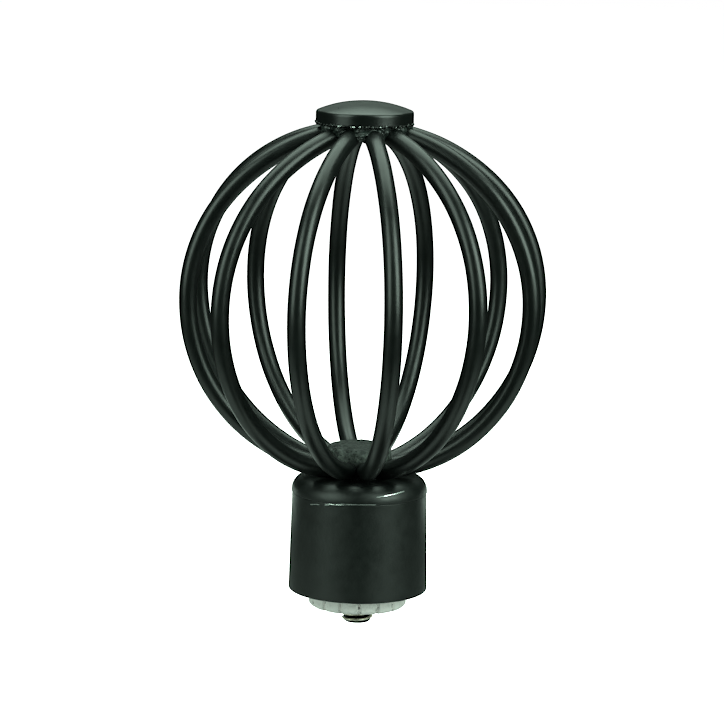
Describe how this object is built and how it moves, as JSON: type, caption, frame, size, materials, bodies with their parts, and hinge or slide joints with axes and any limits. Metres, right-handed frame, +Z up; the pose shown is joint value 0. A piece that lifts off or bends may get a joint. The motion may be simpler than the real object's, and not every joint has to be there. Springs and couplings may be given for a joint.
{
  "type": "curtain pole finial",
  "caption": "Ball finial of bent black wire ribs welded between a domed button cap and a drawn collar, with a fluted moulded plug that pushes into the end of a curtain pole.",
  "frame": {"origin": "centre of the collar's open mouth, on the finial's axis, where the pole's end enters", "axes": "+Z up the axis from the collar's mouth to the button cap; X and Y fall midway between ribs"},
  "size_m": [0.0678, 0.0678, 0.0997],
  "materials": {
    "black_paint": "satin black enamel over welded steel",
    "plug_nylon": "milky off-white moulded nylon",
    "plated_steel": "yellowish zinc plate on a cut thread"
  },
  "bodies": {
    "root": {"top_cap": "black_paint", "hub": "black_paint", "base_collar": "black_paint", "rib_01": "black_paint", "rib_02": "black_paint", "rib_03": "black_paint", "rib_04": "black_paint", "rib_05": "black_paint", "rib_06": "black_paint", "rib_07": "black_paint", "rib_08": "black_paint", "rib_09": "black_paint", "rib_10": "black_paint", "rib_11": "black_paint", "rib_12": "black_paint", "pole_plug": "plug_nylon", "stud": "plated_steel"}
  },
  "joints": []
}
